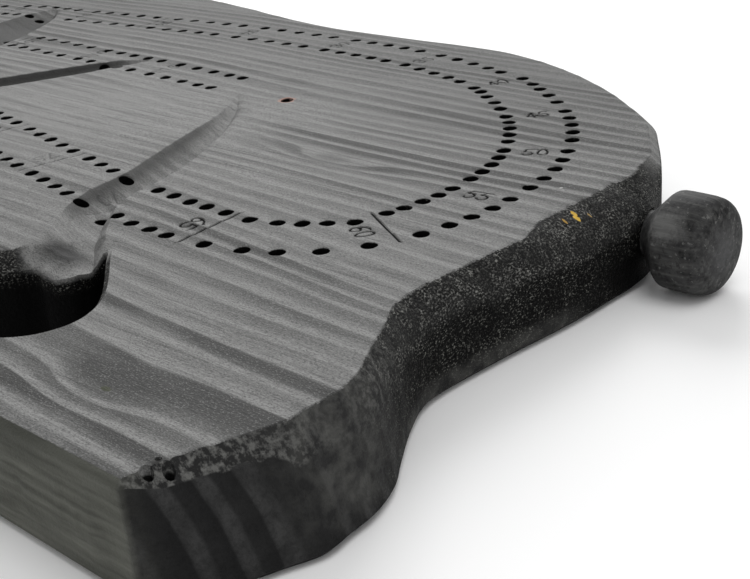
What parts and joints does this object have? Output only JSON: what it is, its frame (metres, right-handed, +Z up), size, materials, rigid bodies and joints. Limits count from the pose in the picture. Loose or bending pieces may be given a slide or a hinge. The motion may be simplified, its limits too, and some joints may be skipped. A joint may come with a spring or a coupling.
{
  "type": "cribbage board",
  "caption": "Flat wooden cribbage board in the outline of a walking bear, with rows of peg holes in its top face and a round tail that plugs a store of pegs.",
  "frame": {"origin": "middle of the footprint of the whole object, on the surface that the board rests on", "axes": "+X from the bear's nose to its tail, +Y from its soles to its back, +Z up through the board, out of the face with the peg holes"},
  "size_m": [0.4362, 0.2186, 0.019],
  "materials": {
    "black_stained_pine": "worn black stain over flat-sawn pine, satin",
    "black_stained_knob": "black stain over a turned hardwood knob, satin",
    "brass": "turned",
    "steel": "turned"
  },
  "bodies": {
    "board": {"board": "black_stained_pine"},
    "tail": {"tail_plug": "black_stained_knob"},
    "peg_1": {"peg_1": "brass"},
    "peg_2": {"peg_2": "steel"},
    "peg_3": {"peg_3": "brass"},
    "peg_4": {"peg_4": "steel"},
    "peg_5": {"peg_5": "brass"},
    "peg_6": {"peg_6": "steel"}
  },
  "joints": [
    {"name": "tail_slide", "type": "slide", "parent": "board", "child": "tail", "axis": [1, 0, 0], "range_m": [0, 0.064]},
    {"name": "peg_1_slide", "type": "slide", "parent": "board", "child": "peg_1", "axis": [1, 0, 0], "range_m": [0, 0.048]},
    {"name": "peg_2_slide", "type": "slide", "parent": "board", "child": "peg_2", "axis": [1, 0, 0], "range_m": [0, 0.048]},
    {"name": "peg_3_slide", "type": "slide", "parent": "board", "child": "peg_3", "axis": [1, 0, 0], "range_m": [0, 0.048]},
    {"name": "peg_4_slide", "type": "slide", "parent": "board", "child": "peg_4", "axis": [1, 0, 0], "range_m": [0, 0.048]},
    {"name": "peg_5_slide", "type": "slide", "parent": "board", "child": "peg_5", "axis": [1, 0, 0], "range_m": [0, 0.048]},
    {"name": "peg_6_slide", "type": "slide", "parent": "board", "child": "peg_6", "axis": [1, 0, 0], "range_m": [0, 0.048]}
  ],
  "couplings": [
    {"joint": "peg_1_slide", "follows": "tail_slide", "ratio": 0.75},
    {"joint": "peg_2_slide", "follows": "tail_slide", "ratio": 0.75},
    {"joint": "peg_3_slide", "follows": "tail_slide", "ratio": 0.75},
    {"joint": "peg_4_slide", "follows": "tail_slide", "ratio": 0.75},
    {"joint": "peg_5_slide", "follows": "tail_slide", "ratio": 0.75},
    {"joint": "peg_6_slide", "follows": "tail_slide", "ratio": 0.75}
  ]
}
